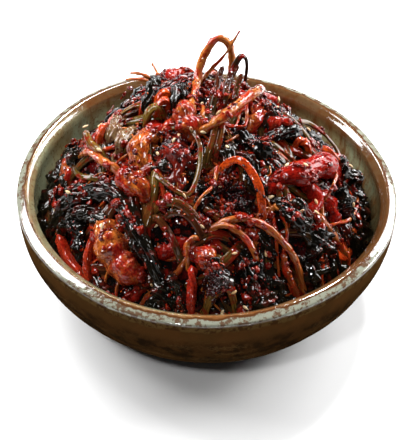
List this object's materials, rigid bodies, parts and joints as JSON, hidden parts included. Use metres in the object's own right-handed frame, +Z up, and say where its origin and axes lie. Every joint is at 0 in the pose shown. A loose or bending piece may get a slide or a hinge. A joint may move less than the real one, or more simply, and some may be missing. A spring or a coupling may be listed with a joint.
{
  "type": "kimchi in a stoneware bowl",
  "caption": "Round glazed bowl heaped with whole-root bitter lettuce kimchi: dark leaves, tangled roots, carrot sticks and sesame seeds.",
  "frame": {"origin": "middle of the flat foot, on the table", "axes": "+Z up along the bowl's axis, -Y towards the viewer, +X to the viewer's right; the heap's peak leans towards +Y"},
  "size_m": [0.18, 0.18, 0.1188],
  "materials": {
    "stoneware": "stands in for a glossy ash glaze on stoneware, grey-green inside with rust-brown speckles and rim lines, dark brown outside with pale brush arcs",
    "kimchi": "stands in for wet food: near-black green leaves, tan and orange roots, orange carrot and a deep red chilli paste, all glossy"
  },
  "bodies": {
    "root": {"bowl": "stoneware", "kimchi": "kimchi"}
  },
  "joints": []
}
